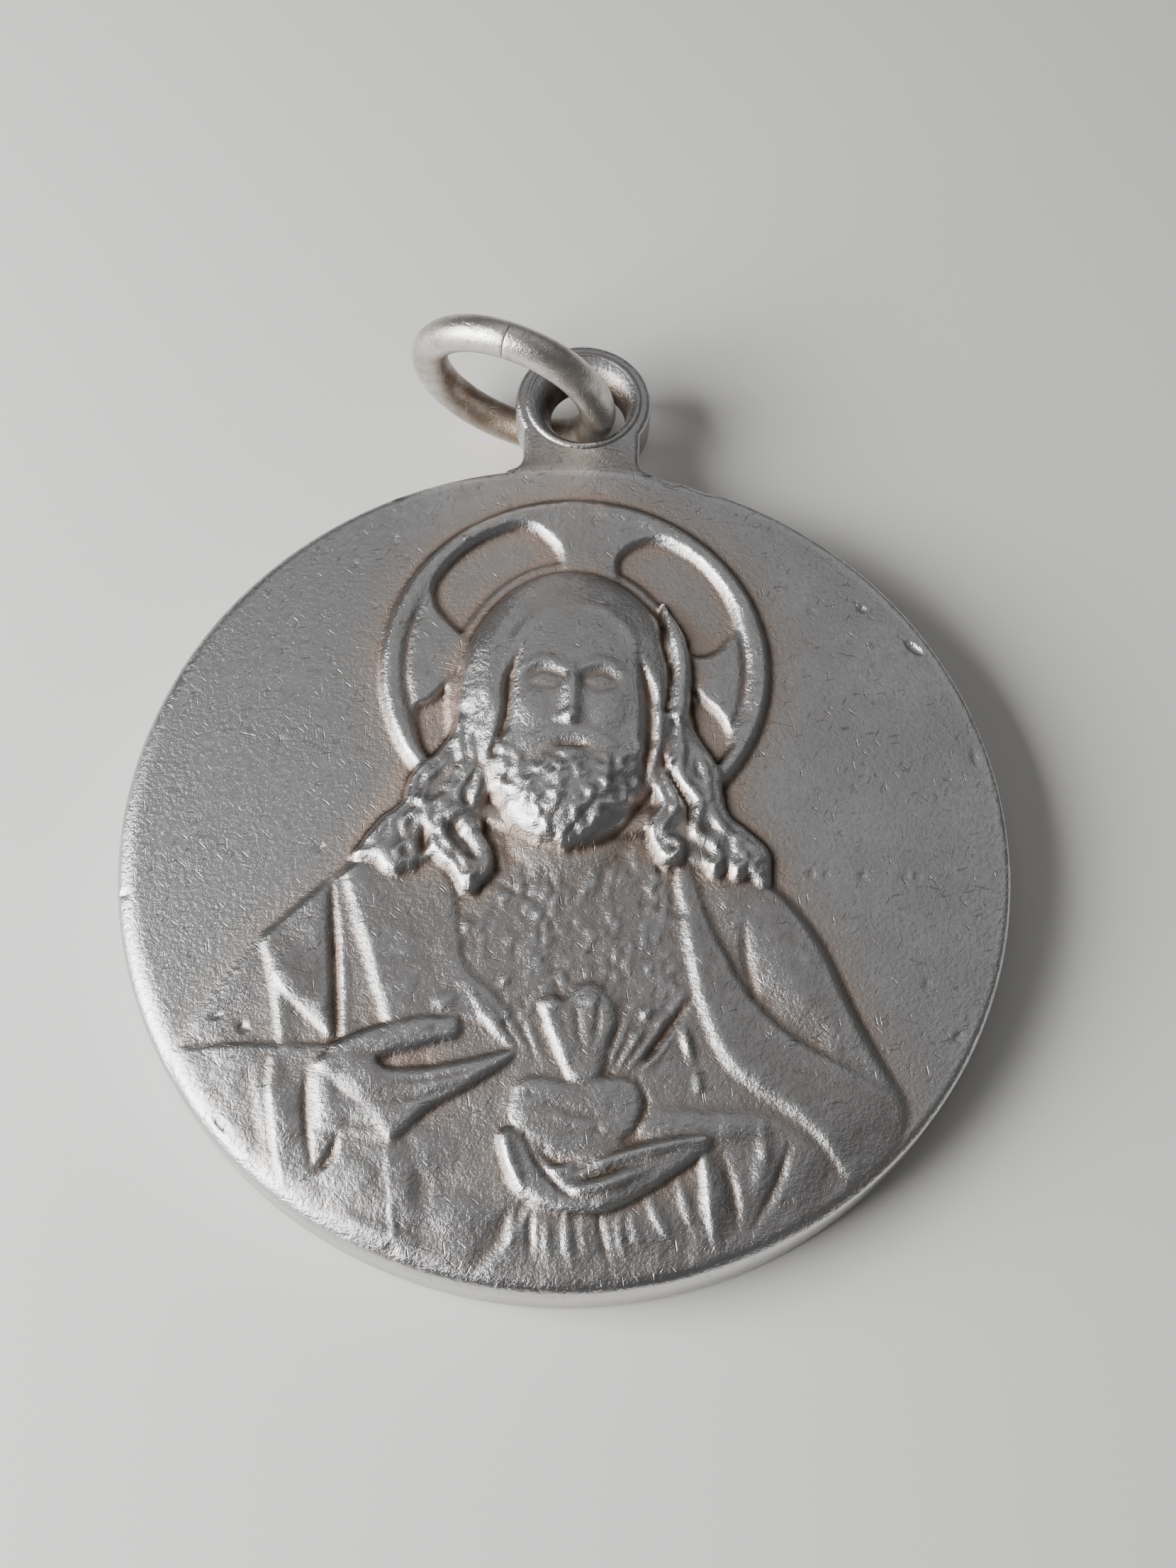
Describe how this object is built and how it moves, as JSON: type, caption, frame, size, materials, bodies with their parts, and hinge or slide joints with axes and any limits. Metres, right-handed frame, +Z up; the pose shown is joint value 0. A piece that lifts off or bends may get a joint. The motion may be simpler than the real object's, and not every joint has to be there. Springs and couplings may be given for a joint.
{
  "type": "religious medal pendant",
  "caption": "Round devotional medal with a haloed half figure in low relief, a pierced eye on its rim and a loose round jump ring for a chain.",
  "frame": {"origin": "on the surface that the pendant lies on, under the centre of its box", "axes": "+Y from the foot of the figure to the eye, +Z up out of the relief, +X to the right as the face is seen"},
  "size_m": [0.03, 0.0354, 0.0079],
  "materials": {
    "medal_silver": "worn silver, satin, with brown tarnish in the recesses",
    "ring_silver": "worn silver wire, smoother than the medal and browner on its inner side"
  },
  "bodies": {
    "root": {"medal": "medal_silver", "jump_ring": "ring_silver"}
  },
  "joints": []
}
